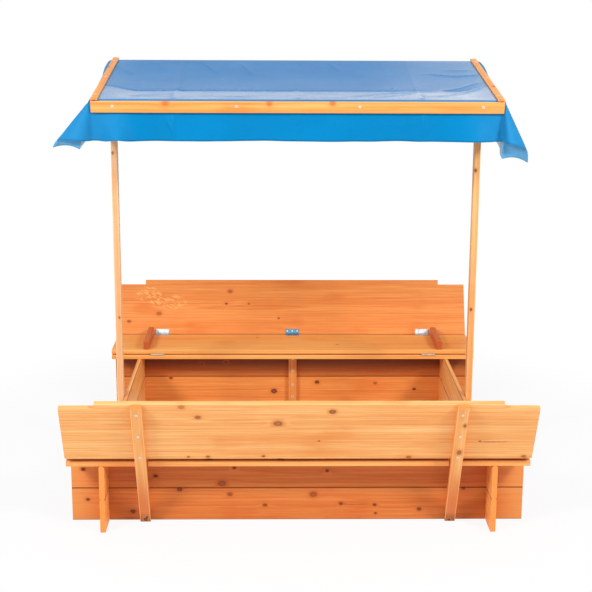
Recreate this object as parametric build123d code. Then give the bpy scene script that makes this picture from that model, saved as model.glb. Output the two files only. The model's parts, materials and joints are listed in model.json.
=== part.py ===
"""Wooden sandbox with a fold-out cover and a tilting canopy.

Four log-cabin walls hold the sand. The cover is in two mirrored halves. Each half is a fixed
board on the wall tops, a seat board hinged to it and a backrest hinged to the seat. Folded in,
the boards lie flat over the pit; folded out, each half is a bench whose battens lean on the wall.
Two posts carry a timber frame with a tarpaulin, which tilts on two pivot bolts.

Millimetres, +Z up, +X to the right, -Y to the front. The origin is on the ground, under the
middle of the box. One bench is drawn on the +Y side and turned half a turn for the other.
"""
from build123d import *
from math import asin, atan2, cos, degrees, hypot, radians, sin, sqrt, tan
import os

# ---------------------------------------------------------------- driving dimensions
# Boards of the box
board_length = 1200.0
board_thickness = 14.0
wall_board_width = 91.0
wall_courses = 2
corner_overhang = 84.0
lap_clearance = 0.25
joint_chamfer = 2.0
edge_ease = 1.5

# Cover boards
backrest_width = 193.0
seat_setback = 6.5
meeting_gap = 3.0
board_seam = 3.0
backrest_tuck = 3.0
post_notch_depth = 16.5
post_notch_play = 6.0
fixed_board_clearance = 0.8
batten_slot_play = 2.5

# Hinges: the lower row folds flat on itself, the upper row opens to the backrest's lean
hinge_length = 45.0
hinge_leaf_thickness = 1.5
hinge_pin_radius = 1.0
hinge_play = 0.05
hinge_knuckles = 5
hinge_screw_inset = 5.3
knuckle_clearance = 0.3
fold_knuckle_radius = 2.0
fold_leaf_width = 18.0
lean_knuckle_radius = 2.2
lean_leaf_width = 16.0
hinge_block_gap = 4.5

# Battens, cleats and blocks
batten_width = 28.0
batten_thickness = 18.0
batten_hinge_gap = 7.5
foot_ground_gap = 2.0
foot_wall_gap = 0.3
seat_block_width = 19.0
seat_block_height = 28.0
seat_block_side_gap = 7.0
seat_block_front_inset = 1.5
seat_block_rear_inset = 7.0
cleat_width = 27.0
cleat_thickness = 18.0
cleat_end_gap = 6.0

# Posts and canopy frame
post_width = 18.0
post_depth = 29.0
post_ground_gap = 10.0
pivot_height = 1114.5
rest_tilt = 8.3
rail_width = 18.0
rail_height = 30.0
rail_side_gap = 1.2
frame_depth = 522.0
fascia_thickness = 10.0
fascia_height = 31.0
fascia_drop = 3.0
strip_thickness = 5.0
strip_width = 18.0

# Tarpaulin
tarp_thickness = 1.0
end_flap_drop = 107.0
side_flap_drop = 128.0
corner_fold = 60.0
ear_side_reach = 80.0
ear_end_reach = 40.0
ear_drop = 142.0

# Fasteners
screw_head_radius = 3.6
screw_shank_radius = 1.7
small_head_radius = 2.4
small_shank_radius = 1.1
small_screw_length = 9.5
screw_play = 0.1
batten_screw_length = 28.0
cleat_screw_length = 28.0
board_screw_length = 38.0
block_screw_length = 30.0
fascia_screw_length = 24.0
strip_screw_length = 12.0
rail_screw_length = 45.0
bolt_radius = 3.0
bolt_play = 0.1
pivot_play = 0.05
bolt_head_radius = 7.0
bolt_head_height = 3.2
washer_radius = 9.0
washer_thickness = 1.0
nut_across_flats = 10.0
nut_height = 5.0
bolt_tail = 1.5
counterbore_play = 1.0
wing_reach = 13.0
wing_height = 9.0
wing_tip_width = 4.0
wing_thickness = 2.5
wing_lift = 0.5

# Fastener places
cleat_screw_spread = 21.0
batten_screw_inset = 22.0
fascia_screw_columns = 4
fascia_screw_end_inset = 57.0
strip_screw_end_inset = 50.0
block_screw_end_inset = 35.0
wall_screw_columns = 4
wall_screw_end_inset = 142.0
side_screw_inset = 28.0
rail_screw_spread = 9.0

# How far a cutting block reaches past the face it opens, and the steps of a swept search
past = 1.0
sweep_steps = 180

# ---------------------------------------------------------------- worked-out places
half_length = board_length / 2
wall_height = wall_board_width * wall_courses
wall_outer = half_length - corner_overhang
wall_inner = wall_outer - board_thickness
wall_middle = (wall_outer + wall_inner) / 2
half_seam = board_seam / 2

# Across a bench: the block beside the wall, then the outer hinges, then the battens
seat_block_outer = wall_inner - seat_block_side_gap
seat_block_inner = seat_block_outer - seat_block_width
outer_hinge_x = seat_block_inner - hinge_block_gap - hinge_length / 2
batten_x = outer_hinge_x - hinge_length / 2 - batten_hinge_gap - batten_width / 2

# The cover closes the pit: fixed board, seat and backrest fill the half length between them
seat_edge = half_length - seat_setback
fold_y = (seat_edge + backrest_width + board_seam + meeting_gap / 2) / 2
fixed_inner = fold_y + half_seam
fold_z = wall_height + board_thickness + fold_knuckle_radius
seat_bottom = fold_z + fold_knuckle_radius
seat_top = seat_bottom + board_thickness

# The backrest turns about the upper hinges until its battens stand against the wall. Its edge is
# tucked under the hinge pins, so that no light shows between it and the seat.
lean_y = seat_edge + half_seam + backrest_tuck
backrest_near = half_seam - backrest_tuck
lean_z = seat_top + lean_knuckle_radius
batten_face = lean_knuckle_radius + board_thickness


def lean_and_leg():
    """Lean of the backrest from upright, in radians, and the battens' reach below the hinge."""
    run = lean_y - wall_outer - foot_wall_gap
    lean = atan2(run, lean_z)
    for _ in range(30):
        rise = lean_z - foot_ground_gap - batten_thickness * sin(lean)
        lean = atan2(run, rise) + asin(batten_face / hypot(run, rise))
    return lean, sqrt(run**2 + rise**2 - batten_face**2)


backrest_lean, batten_leg = lean_and_leg()
backrest_fold = 90 - degrees(backrest_lean)

# The fixed board stops where the leaning battens pass the wall top
batten_at_wall_top = lean_y - (lean_z - wall_height) * tan(backrest_lean) + batten_face / cos(backrest_lean)
fixed_outer = batten_at_wall_top - fixed_board_clearance
fixed_top = wall_height + board_thickness


def batten_swing():
    """The furthest in that a batten comes at the fixed board's level while the cover is shut."""
    nearest = fixed_outer
    reach, rise = lean_y - fold_y, lean_z - fold_z
    for step in range(sweep_steps):
        shut = step / sweep_steps
        seat_turn = radians(180 * shut)
        back_turn = seat_turn + radians(backrest_fold) * (1 - shut)
        hinge_y = fold_y + reach * cos(seat_turn) - rise * sin(seat_turn)
        hinge_z = fold_z + reach * sin(seat_turn) + rise * cos(seat_turn)
        for part in range(sweep_steps + 1):
            down = batten_leg * part / sweep_steps
            for depth in (batten_face, batten_face + batten_thickness):
                y = hinge_y - down * cos(back_turn) + depth * sin(back_turn)
                z = hinge_z - down * sin(back_turn) - depth * cos(back_turn)
                if wall_height <= z <= fixed_top:
                    nearest = min(nearest, y)
    return nearest


# Each batten swings up through a slot in the fixed board's overhang
batten_slot_end = batten_swing() - batten_slot_play

post_inner = wall_outer
post_outer = post_inner + post_width
post_middle = (post_inner + post_outer) / 2
rail_inner = post_outer + rail_side_gap
rail_outer = rail_inner + rail_width
rail_middle = (rail_inner + rail_outer) / 2
frame_end = frame_depth / 2
frame_top = rail_height / 2
tarp_top = frame_top + tarp_thickness
fascia_inner = frame_end + tarp_thickness
fascia_outer = fascia_inner + fascia_thickness
fascia_middle = tarp_top - fascia_drop - fascia_height / 2

# ---------------------------------------------------------------- shared shapes
FACING = {
    "down": Rot(180, 0, 0),
    "back": Rot(-90, 0, 0),
    "front": Rot(90, 0, 0),
    "right": Rot(0, 90, 0),
    "left": Rot(0, -90, 0),
}


def span(x, y, z):
    """A plain block between three pairs of limits."""
    size = [high - low for low, high in (x, y, z)]
    middle = [(high + low) / 2 for low, high in (x, y, z)]
    return Pos(*middle) * Box(*size)


def planed(x, y, z, along, ease=edge_ease):
    """A planed board between three pairs of limits, its long edges eased."""
    blank = span(x, y, z)
    return chamfer(blank.edges().filter_by(along), ease)


def group(solids):
    """Separate solids kept together as one node."""
    return Compound(children=[piece.solid() for piece in solids])


def spread(count, reach):
    """Evenly spaced places from -reach to +reach."""
    if count == 1:
        return [0.0]
    return [reach * (2 * index / (count - 1) - 1) for index in range(count)]


def countersunk(length, head=screw_head_radius, shank=screw_shank_radius, play=0.0):
    """A countersunk screw, or the hole for one: its flat head at the origin, its shank down -Z."""
    wide, thin = head + play, shank + play
    outline = [(0, 0), (wide, 0), (thin, thin - wide), (thin, thin - length), (0, -length - play)]
    return revolve(Plane.XZ * make_face(Polyline(*outline, close=True)), Axis.Z)


class Screws:
    """Like screws at several places, which also cut their own holes."""

    def __init__(self, places, length, head=screw_head_radius, shank=screw_shank_radius):
        self.places = places
        self.sizes = (length, head, shank)

    def solids(self):
        return [place * countersunk(*self.sizes) for place in self.places]

    def bore(self, board):
        """The board with a hole for each screw that reaches it."""
        box = board.bounding_box()
        for place in self.places:
            hole = place * countersunk(*self.sizes, play=screw_play)
            if box.overlaps(hole.bounding_box()):
                board = board - hole
        return board


def bored(board, *screw_sets):
    """The board with the holes of every screw set."""
    for screws in screw_sets:
        board = screws.bore(board)
    return board


def bolt(grip):
    """A cup-head bolt: the head's flat side at the origin, the shank down -Z through the grip."""
    wide, high = bolt_head_radius, bolt_head_height
    dome = (wide**2 + high**2) / (2 * high)
    shoulder = sqrt(dome**2 - (wide / 2) ** 2) - (dome - high)
    arc = ThreePointArc((0, high), (wide / 2, shoulder), (wide, 0))
    rest = Polyline((wide, 0), (bolt_radius, 0), (bolt_radius, -grip), (0, -grip), (0, high))
    return revolve(Plane.XZ * make_face(arc + rest), Axis.Z)


def washer():
    """A plain washer on the origin, its thickness up +Z."""
    ring = Circle(washer_radius) - Circle(bolt_radius + bolt_play)
    return extrude(ring, washer_thickness)


def nut():
    """A hexagon nut on the origin, its height up +Z."""
    hexagon = RegularPolygon(nut_across_flats / 2, 6, major_radius=False)
    return extrude(hexagon - Circle(bolt_radius + bolt_play), nut_height)


def wing_nut():
    """A wing nut on the origin, its height up +Z and its two wings along X."""
    boss = extrude(Circle(nut_across_flats / 2), nut_height)
    root = (bolt_radius + nut_across_flats / 2) / 2
    for side in (-1, 1):
        outline = Polyline(
            (side * root, wing_lift),
            (side * wing_reach, wing_height - wing_tip_width),
            (side * wing_reach, wing_height),
            (side * (wing_reach - wing_tip_width), wing_height),
            (side * root, nut_height - wing_lift),
            close=True,
        )
        boss += extrude(Plane.XZ * make_face(outline), wing_thickness / 2, both=True)
    return boss - extrude(Circle(bolt_radius + bolt_play), 2 * nut_height, both=True)


# ---------------------------------------------------------------- hinges
class Hinge:
    """A butt hinge on its own axis, along X at the origin, opened flat.

    Its leaves reach towards +Y and -Y below the axis, so their screwed faces lie one knuckle
    radius down. The odd knuckles belong to the +Y leaf and the even ones to the -Y leaf.
    """

    def __init__(self, knuckle_radius, leaf_width):
        self.radius = knuckle_radius
        self.width = leaf_width
        self.clear = knuckle_radius + knuckle_clearance * 2
        self.screw_y = (leaf_width + self.clear) / 2
        self.screw_x = spread(3, hinge_length / 2 - hinge_screw_inset)

    def leaf(self, side):
        low = -self.radius
        high = low + hinge_leaf_thickness
        pitch = hinge_length / hinge_knuckles
        far = (self.clear, self.width) if side > 0 else (-self.width, -self.clear)
        near = (0, self.clear) if side > 0 else (-self.clear, 0)
        half = hinge_length / 2
        shape = span((-half, half), far, (low, high))
        first = 0 if side > 0 else 1
        for index in range(first, hinge_knuckles, 2):
            start = -half + index * pitch + knuckle_clearance / 2
            end = start + pitch - knuckle_clearance
            barrel = Rot(0, 90, 0) * Cylinder(self.radius, end - start)
            shape += Pos((start + end) / 2, 0, 0) * barrel + span((start, end), near, (low, high))
        shape -= Rot(0, 90, 0) * Cylinder(hinge_pin_radius + hinge_play, 2 * hinge_length)
        return self.screws(side).bore(shape)

    def screws(self, side, frame=Pos(0, 0, 0)):
        seat = hinge_leaf_thickness - self.radius
        places = [frame * Pos(x, side * self.screw_y, seat) for x in self.screw_x]
        return Screws(places, small_screw_length, small_head_radius, small_shank_radius)

    def pin(self):
        return Rot(0, 90, 0) * Cylinder(hinge_pin_radius, hinge_length)


fold_hinge = Hinge(fold_knuckle_radius, fold_leaf_width)
lean_hinge = Hinge(lean_knuckle_radius, lean_leaf_width)

# The fold hinge's lower leaf lies on the fixed board; the seat's leaf is folded over onto it
fold_hinge_places = [Pos(x, fold_y, fold_z) for x in (-outer_hinge_x, outer_hinge_x)]
lean_hinge_places = [Pos(x, lean_y, lean_z) for x in (-outer_hinge_x, 0, outer_hinge_x)]
folded_over = Rot(180, 0, 0)
leaned_back = Rot(backrest_fold, 0, 0)


def hinge_screws(hinge, places, side, turned=Pos(0, 0, 0)):
    """All the screws of one side of a row of hinges."""
    found = []
    for place in places:
        found += hinge.screws(side, place * turned).places
    return Screws(found, small_screw_length, small_head_radius, small_shank_radius)


# ---------------------------------------------------------------- screws of the box
def course_middle(course):
    """The height of the middle of a wall board, counting from the ground."""
    return (course + 0.5) * wall_board_width


def cleat_screws():
    """Screws from the centre cleat into each board of the back wall."""
    face = wall_inner - cleat_thickness
    places = []
    for course in range(wall_courses):
        for offset in (-cleat_screw_spread, cleat_screw_spread):
            places.append(Pos(0, face, course_middle(course) + offset) * FACING["front"])
    return Screws(places, cleat_screw_length)


def fixed_board_screws():
    """Screws from the fixed board down into the wall tops."""
    columns = spread(wall_screw_columns, wall_inner - wall_screw_end_inset)
    places = [Pos(x, wall_middle, fixed_top) for x in columns]
    for x in (-wall_middle, wall_middle):
        for y in (fixed_inner + side_screw_inset, fixed_outer - side_screw_inset):
            places.append(Pos(x, y, fixed_top))
    return Screws(places, board_screw_length)


box_screws = {"cleat": cleat_screws(), "fixed_board": fixed_board_screws()}
as_drawn = Rot(0, 0, 0)
other_half = Rot(0, 0, 180)


def both_halves(screws):
    """The same screws on the back and on the front."""
    length, head, shank = screws.sizes
    return Screws(screws.places + [other_half * place for place in screws.places], length, head, shank)


# ---------------------------------------------------------------- box
def wall_board(course, notch_up):
    """One wall board along X on the +Y side, its crossing notches cut from above or from below."""
    low = course * wall_board_width
    high = low + wall_board_width
    board = planed(
        (-half_length, half_length), (wall_inner, wall_outer), (low, high), Axis.X, joint_chamfer
    )
    middle = course_middle(course)
    slot = (middle - lap_clearance, high + past) if notch_up else (low - past, middle + lap_clearance)
    half_slot = board_thickness / 2 + lap_clearance
    for side in (-1, 1):
        limits = (side * wall_middle - half_slot, side * wall_middle + half_slot)
        board -= span(limits, (wall_inner - past, wall_outer + past), slot)
    return board


def post_bolt_places():
    """Where the right post is bolted to each side board, facing out."""
    heights = [course_middle(course) for course in range(wall_courses)]
    return [Pos(post_outer, 0, height) * FACING["right"] for height in heights]


def bolt_holes():
    """Cutters for the post bolts of the right side."""
    depth = 2 * (post_outer - wall_inner + past)
    return [place * Cylinder(bolt_radius + bolt_play, depth) for place in post_bolt_places()]


def box_nodes():
    """Walls, cleats, fixed boards and the leaves screwed to them."""
    nodes = {}
    course_names = ["lower", "upper"] + [f"course_{index + 1}" for index in range(2, wall_courses)]
    for course in range(wall_courses):
        long_board = bored(wall_board(course, False), *box_screws.values())
        side_board = Rot(0, 0, -90) * wall_board(course, True)
        side_board = bored(side_board, both_halves(box_screws["fixed_board"]))
        for hole in bolt_holes():
            side_board -= hole
        name = course_names[course]
        nodes[f"back_{name}_board"] = long_board
        nodes[f"front_{name}_board"] = other_half * long_board
        nodes[f"right_{name}_board"] = side_board
        nodes[f"left_{name}_board"] = other_half * side_board

    cleat = planed(
        (-cleat_width / 2, cleat_width / 2),
        (wall_inner - cleat_thickness, wall_inner),
        (cleat_end_gap, wall_height - cleat_end_gap),
        Axis.Z,
    )
    cleat = bored(cleat, box_screws["cleat"])
    fixed = planed(
        (-half_length, half_length), (fixed_inner, fixed_outer), (wall_height, fixed_top), Axis.X
    )
    half_slot = batten_width / 2 + batten_slot_play
    for side in (-1, 1):
        limits = (side * batten_x - half_slot, side * batten_x + half_slot)
        slot_reach = (batten_slot_end, fixed_outer + past)
        fixed -= span(limits, slot_reach, (wall_height - past, fixed_top + past))
    leaf_screws = hinge_screws(fold_hinge, fold_hinge_places, 1)
    fixed = bored(fixed, box_screws["fixed_board"], leaf_screws)
    leaves = [place * fold_hinge.leaf(1) for place in fold_hinge_places]
    for name, turn in (("back", as_drawn), ("front", other_half)):
        nodes[f"{name}_centre_cleat"] = turn * cleat
        nodes[f"{name}_fixed_board"] = turn * fixed
    nodes["fold_hinge_lower_leaves"] = group(leaves + [other_half * leaf for leaf in leaves])
    nodes["cleat_screws"] = group(both_halves(box_screws["cleat"]).solids())
    nodes["fixed_board_screws"] = group(both_halves(box_screws["fixed_board"]).solids())
    nodes["fold_hinge_lower_screws"] = group(both_halves(leaf_screws).solids())
    return nodes


# ---------------------------------------------------------------- seats and backrests
def seat_block_limits():
    """X, Y and Z limits of the right block on the seat."""
    return (
        (seat_block_inner, seat_block_outer),
        (fixed_inner + seat_block_front_inset, seat_edge - seat_block_rear_inset),
        (seat_top, seat_top + seat_block_height),
    )


def seat_nodes():
    """The seat board of the back bench with its blocks, leaves, pins and screws."""
    x, y, z = seat_block_limits()
    block_middle = (seat_block_inner + seat_block_outer) / 2
    places = []
    for side in (-1, 1):
        for depth in (y[0] + block_screw_end_inset, y[1] - block_screw_end_inset):
            places.append(Pos(side * block_middle, depth, seat_bottom) * FACING["down"])
    block_screws = Screws(places, block_screw_length)
    fold_screws = hinge_screws(fold_hinge, fold_hinge_places, -1, folded_over)
    lean_screws = hinge_screws(lean_hinge, lean_hinge_places, -1)

    board = planed(
        (-half_length, half_length), (fixed_inner, seat_edge), (seat_bottom, seat_top), Axis.X
    )
    block = bored(planed(x, y, z, Axis.Y), block_screws)
    upper_leaf = folded_over * fold_hinge.leaf(-1)
    lean_leaf = lean_hinge.leaf(-1)
    pins = [place * fold_hinge.pin() for place in fold_hinge_places]
    pins += [place * lean_hinge.pin() for place in lean_hinge_places]
    return {
        "seat_board": bored(board, block_screws, fold_screws, lean_screws),
        "seat_blocks": group([block, mirror(block, Plane.YZ)]),
        "fold_hinge_upper_leaves": group([place * upper_leaf for place in fold_hinge_places]),
        "lean_hinge_seat_leaves": group([place * lean_leaf for place in lean_hinge_places]),
        "hinge_pins": group(pins),
        "seat_screws": group(block_screws.solids() + fold_screws.solids() + lean_screws.solids()),
    }


def backrest_nodes():
    """The backrest of the back bench, drawn flat about the hinge axis and then turned up."""
    frame = Pos(0, lean_y, lean_z) * leaned_back
    near, far = backrest_near, backrest_near + backrest_width
    face = -lean_knuckle_radius
    board = planed((-half_length, half_length), (near, far), (-batten_face, face), Axis.X)
    notch_start = post_inner - post_notch_play
    for side in (-1, 1):
        reach = sorted((side * notch_start, side * (half_length + past)))
        board -= span(reach, (far - post_notch_depth, far + past), (-batten_face - past, past))

    middle = (near + far) / 2
    batten_low = -batten_face - batten_thickness
    places = []
    for side in (-1, 1):
        for offset in spread(3, backrest_width / 2 - batten_screw_inset):
            places.append(Pos(side * batten_x, middle + offset, batten_low) * FACING["down"])
    batten_screws = Screws(places, batten_screw_length)
    leaf_places = [Pos(x, 0, 0) for x in (-outer_hinge_x, 0, outer_hinge_x)]
    leaf_screws = hinge_screws(lean_hinge, leaf_places, 1)
    board = bored(board, batten_screws, leaf_screws)

    battens = []
    for side in (-1, 1):
        limits = (side * batten_x - batten_width / 2, side * batten_x + batten_width / 2)
        batten = planed(limits, (-batten_leg, far), (batten_low, -batten_face), Axis.Y)
        battens.append(frame * bored(batten, batten_screws))
    return {
        "backrest_board": frame * board,
        "left_batten": battens[0],
        "right_batten": battens[1],
        "lean_hinge_back_leaves": group([frame * place * lean_hinge.leaf(1) for place in leaf_places]),
        "backrest_hinge_screws": group([frame * screw for screw in leaf_screws.solids()]),
        "batten_screws": group([frame * screw for screw in batten_screws.solids()]),
    }


def bench_nodes():
    """Both benches: the back one as drawn, the front one turned half a turn."""
    drawn = seat_nodes() | backrest_nodes()
    swapped = {"left_batten": "right_batten", "right_batten": "left_batten"}
    nodes = {}
    for part, shape in drawn.items():
        nodes[f"back_{part}"] = shape
        nodes[f"front_{swapped.get(part, part)}"] = other_half * shape
    return nodes


# ---------------------------------------------------------------- posts
def post_nodes():
    """Posts, the bolts that hold them to the side boards, and the pivot bolts of the canopy."""
    limits = (-post_depth / 2, post_depth / 2)
    post = planed((post_inner, post_outer), limits, (post_ground_gap, pivot_height), Axis.Z)
    post += Pos(post_middle, 0, pivot_height) * Rot(0, 90, 0) * Cylinder(post_depth / 2, post_width)
    for hole in bolt_holes():
        post -= hole
    pivot_hole = Rot(0, 90, 0) * Cylinder(bolt_radius + bolt_play, 2 * post_width)
    post -= Pos(post_middle, 0, pivot_height) * pivot_hole

    grip = post_outer - wall_inner + washer_thickness + nut_height + bolt_tail
    bolts = [place * bolt(grip) for place in post_bolt_places()]
    ends = [Pos(wall_inner, 0, place.position.Z) * FACING["left"] for place in post_bolt_places()]
    past_washer = Pos(0, 0, washer_thickness)

    pivot_seat = rail_outer - bolt_head_height - counterbore_play
    pivot = Pos(pivot_seat, 0, pivot_height) * FACING["right"]
    inside = Pos(post_inner, 0, pivot_height) * FACING["left"]
    between = Pos(post_outer, 0, pivot_height) * FACING["right"]
    pivot_grip = pivot_seat - post_inner + washer_thickness + wing_height
    pairs = {
        "post_bolts": bolts,
        "post_bolt_nuts": [end * past_washer * nut() for end in ends],
        "pivot_bolts": [pivot * bolt(pivot_grip)],
        "pivot_wing_nuts": [inside * past_washer * wing_nut()],
        "washers": [place * washer() for place in ends + [inside, between]],
    }
    nodes = {"right_post": post, "left_post": other_half * post}
    for name, solids in pairs.items():
        nodes[name] = group(solids + [other_half * solid for solid in solids])
    return nodes


# ---------------------------------------------------------------- canopy
def fascia_screws():
    """Screws through the front and rear fascias and the cloth into the cross rails."""
    columns = spread(fascia_screw_columns, rail_outer - fascia_screw_end_inset)
    back = [Pos(x, fascia_outer, 0) * FACING["back"] for x in columns]
    return both_halves(Screws(back, fascia_screw_length))


def strip_screws():
    """Screws through the side strips and the cloth into the side rails."""
    depths = spread(3, fascia_outer - strip_screw_end_inset)
    top = tarp_top + strip_thickness
    right = [Pos(rail_middle, depth, top) for depth in depths]
    return both_halves(Screws(right, strip_screw_length))


def rail_screws():
    """Screws through the side rails into the ends of the cross rails."""
    end = frame_end - rail_width / 2
    right = []
    for depth in (-end, end):
        for height in (-rail_screw_spread, rail_screw_spread):
            right.append(Pos(rail_outer, depth, height) * FACING["right"])
    return both_halves(Screws(right, rail_screw_length))


def tarp():
    """The sheet over the frame: a flat top, four hanging flaps and a folded ear at each corner.

    The fascias pin the front and rear flaps down to their lower edge, so each ear starts there.
    """
    half_sheet = tarp_thickness / 2
    wide = rail_outer + half_sheet
    deep = frame_end + half_sheet
    high = frame_top + half_sheet
    end_low, side_low = tarp_top - end_flap_drop, tarp_top - side_flap_drop
    pinned = fascia_middle - fascia_height / 2 - tarp_thickness
    corners = [(-1, -1), (1, -1), (1, 1), (-1, 1)]

    def corner(sx, sy, height):
        return (sx * wide, sy * deep, height)

    def end_flap(sx, sy):
        return (sx * (wide - corner_fold), sy * deep, end_low)

    def side_flap(sx, sy):
        return (sx * wide, sy * (deep - corner_fold), side_low)

    panels = [[corner(*signs, high) for signs in corners]]
    for sy in (-1, 1):
        left, right = (-1, sy), (1, sy)
        left_side = [corner(*left, pinned), corner(*left, high)]
        right_side = [corner(*right, high), corner(*right, pinned)]
        panels.append(left_side + right_side + [end_flap(*right), end_flap(*left)])
    for sx in (-1, 1):
        rear, front = (sx, 1), (sx, -1)
        top_side = [corner(*rear, high), corner(*front, high)]
        panels.append(top_side + [side_flap(*front), side_flap(*rear)])
    for sx, sy in corners:
        ear_tip = (sx * (wide + ear_side_reach), sy * (deep + ear_end_reach), high - ear_drop)
        panels.append([corner(sx, sy, pinned), end_flap(sx, sy), ear_tip])
        panels.append([corner(sx, sy, high), corner(sx, sy, pinned), ear_tip])
        panels.append([corner(sx, sy, high), side_flap(sx, sy), ear_tip])
    sheet = None
    for outline in panels:
        face = Face(Wire.make_polygon([Vector(*point) for point in outline], close=True))
        panel = extrude(face, half_sheet, both=True)
        sheet = panel if sheet is None else sheet + panel
    return sheet


def canopy_nodes():
    """The frame, its cloth and its clamping strips, drawn level and then tilted."""
    tilted = Pos(0, 0, pivot_height) * Rot(rest_tilt, 0, 0)
    screws = {"fascia": fascia_screws(), "strip": strip_screws(), "rail": rail_screws()}

    high_low = (-frame_top, frame_top)
    right_rail = planed((rail_inner, rail_outer), (-frame_end, frame_end), high_low, Axis.Y)
    right_rail = bored(right_rail, screws["strip"], screws["rail"])
    right_rail -= Rot(0, 90, 0) * Cylinder(bolt_radius + pivot_play, 2 * (rail_outer + past))
    seat_depth = bolt_head_height + counterbore_play
    counterbore = Cylinder(bolt_head_radius + counterbore_play, 2 * seat_depth)
    right_rail -= Pos(rail_outer, 0, 0) * Rot(0, 90, 0) * counterbore
    rear_rail = planed(
        (-rail_inner, rail_inner), (frame_end - rail_width, frame_end), high_low, Axis.X
    )
    rear_rail = bored(rear_rail, screws["fascia"], screws["rail"])
    rear_fascia = planed(
        (-rail_outer, rail_outer),
        (fascia_inner, fascia_outer),
        (fascia_middle - fascia_height / 2, fascia_middle + fascia_height / 2),
        Axis.X,
    )
    rear_fascia = bored(rear_fascia, screws["fascia"])
    strip_outer = rail_middle + strip_width / 2
    right_strip = planed(
        (strip_outer - strip_width, strip_outer),
        (-fascia_outer, fascia_outer),
        (tarp_top, tarp_top + strip_thickness),
        Axis.Y,
        edge_ease / 2,
    )
    right_strip = bored(right_strip, screws["strip"])
    sheet = bored(tarp(), screws["fascia"], screws["strip"])
    drawn = {
        "right_roof_rail": right_rail,
        "left_roof_rail": other_half * right_rail,
        "rear_cross_rail": rear_rail,
        "front_cross_rail": other_half * rear_rail,
        "rear_fascia": rear_fascia,
        "front_fascia": other_half * rear_fascia,
        "right_top_strip": right_strip,
        "left_top_strip": other_half * right_strip,
        "tarpaulin": sheet,
    }
    nodes = {name: tilted * shape for name, shape in drawn.items()}
    frame_screws = screws["fascia"].solids() + screws["rail"].solids()
    nodes["frame_screws"] = group([tilted * screw for screw in frame_screws])
    nodes["strip_screws"] = group([tilted * screw for screw in screws["strip"].solids()])
    return nodes


# ---------------------------------------------------------------- write the pieces
nodes = box_nodes() | bench_nodes() | post_nodes() | canopy_nodes()
os.makedirs("parts", exist_ok=True)
for name, shape in nodes.items():
    export_step(shape, f"parts/{name}.step")
print(f"{len(nodes)} nodes, lean {degrees(backrest_lean):.3f} degrees, fold {backrest_fold:.3f} degrees")
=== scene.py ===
"""Looks of a wooden sandbox with a fold-out cover and a tilting canopy.

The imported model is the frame: this script finishes its timber and metal, seats detailed screws
where the frame has plain ones, hangs the canopy sheet and sets the stage. Metres, +Z up, -Y front.
"""
import json
import math
import random

import bmesh
import bpy
import numpy as np
from bpy.props import FloatProperty, FloatVectorProperty, PointerProperty
from mathutils import Matrix, Vector, noise


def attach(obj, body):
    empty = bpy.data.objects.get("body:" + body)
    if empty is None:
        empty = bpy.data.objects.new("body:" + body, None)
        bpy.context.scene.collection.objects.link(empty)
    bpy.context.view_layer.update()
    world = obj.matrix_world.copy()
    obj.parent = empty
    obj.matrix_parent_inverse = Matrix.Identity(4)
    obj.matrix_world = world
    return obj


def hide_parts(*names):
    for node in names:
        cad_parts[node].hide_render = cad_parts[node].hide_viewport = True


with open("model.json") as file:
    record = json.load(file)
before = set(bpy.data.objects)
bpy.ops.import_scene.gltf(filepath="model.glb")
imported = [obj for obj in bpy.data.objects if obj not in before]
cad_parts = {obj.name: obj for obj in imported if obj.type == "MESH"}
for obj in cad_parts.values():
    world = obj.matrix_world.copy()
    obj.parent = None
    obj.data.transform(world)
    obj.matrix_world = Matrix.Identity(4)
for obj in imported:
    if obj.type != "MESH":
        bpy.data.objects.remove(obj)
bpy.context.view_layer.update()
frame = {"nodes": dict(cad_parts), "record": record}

bl_info = {
    "name": "Sandbox with cover",
    "version": (1, 0, 0),
    "blender": (4, 5, 0),
    "location": "3D View > Sidebar > Sandbox",
    "description": "Timber, metal, screws, canopy sheet and stage of a folding sandbox",
    "category": "Object",
}

record = frame["record"]
slots = {part["node"]: part["material_slot"] for part in record["subparts"]}
bodies = record["behaviour"]["bodies"]
body_of_node = {node: body for body, nodes in bodies.items() for node in nodes}
tilt_joint = next(joint for joint in record["behaviour"]["joints"] if joint["name"] == "roof_tilt")


# ---------------------------------------------------------------- sizes and colours
def colour(name, description, default):
    return FloatVectorProperty(
        name=name, description=description, default=default, size=3, min=0, max=1, subtype="COLOR"
    )


def measure(name, description, default):
    return FloatProperty(name=name, description=description, default=default, unit="LENGTH")


def tilt(name, description, degrees):
    return FloatProperty(
        name=name, description=description, default=math.radians(degrees), subtype="ANGLE"
    )


class TimberSettings(bpy.types.PropertyGroup):
    wall: colour("Walls", "Stain of the front wall and of the back wall's upper board", (0.64, 0.185, 0.036))
    back: colour("Back wall", "Stain of the back wall's lower board and of the cleats", (0.80, 0.28, 0.060))
    side: colour("Side walls", "Stain of the side wall boards", (1.0, 0.43, 0.122))
    bench: colour("Back backrest", "Stain of the back backrest and its battens", (0.92, 0.30, 0.060))
    outer: colour("Front backrest", "Stain of the front backrest and its battens", (0.91, 0.445, 0.145))
    # The back seat's stain is lighter than its backrest's: painted light on tops that the roof shades
    lid: colour("Back seat", "Stain of the back seat and its fixed board", (1.0, 0.41, 0.098))
    seat: colour("Front seat", "Stain of the front seat and its fixed board", (0.88, 0.37, 0.10))
    block: colour("Blocks", "Stain of the seat blocks", (0.62, 0.15, 0.035))
    left_post: colour("Left post", "Stain of the left post", (1.0, 0.60, 0.31))
    right_post: colour("Right post", "Stain of the right post", (0.95, 0.48, 0.17))
    canopy: colour("Canopy frame", "Stain of the rails, fascias and strips", (0.96, 0.38, 0.095))
    knot: colour("Knots", "Heart of a knot", (0.095, 0.031, 0.013))
    ring: measure("Ring width", "Mean growth ring", 0.0046)
    grain: measure("Grain depth", "Relief of the grain", 0.0004)


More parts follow.
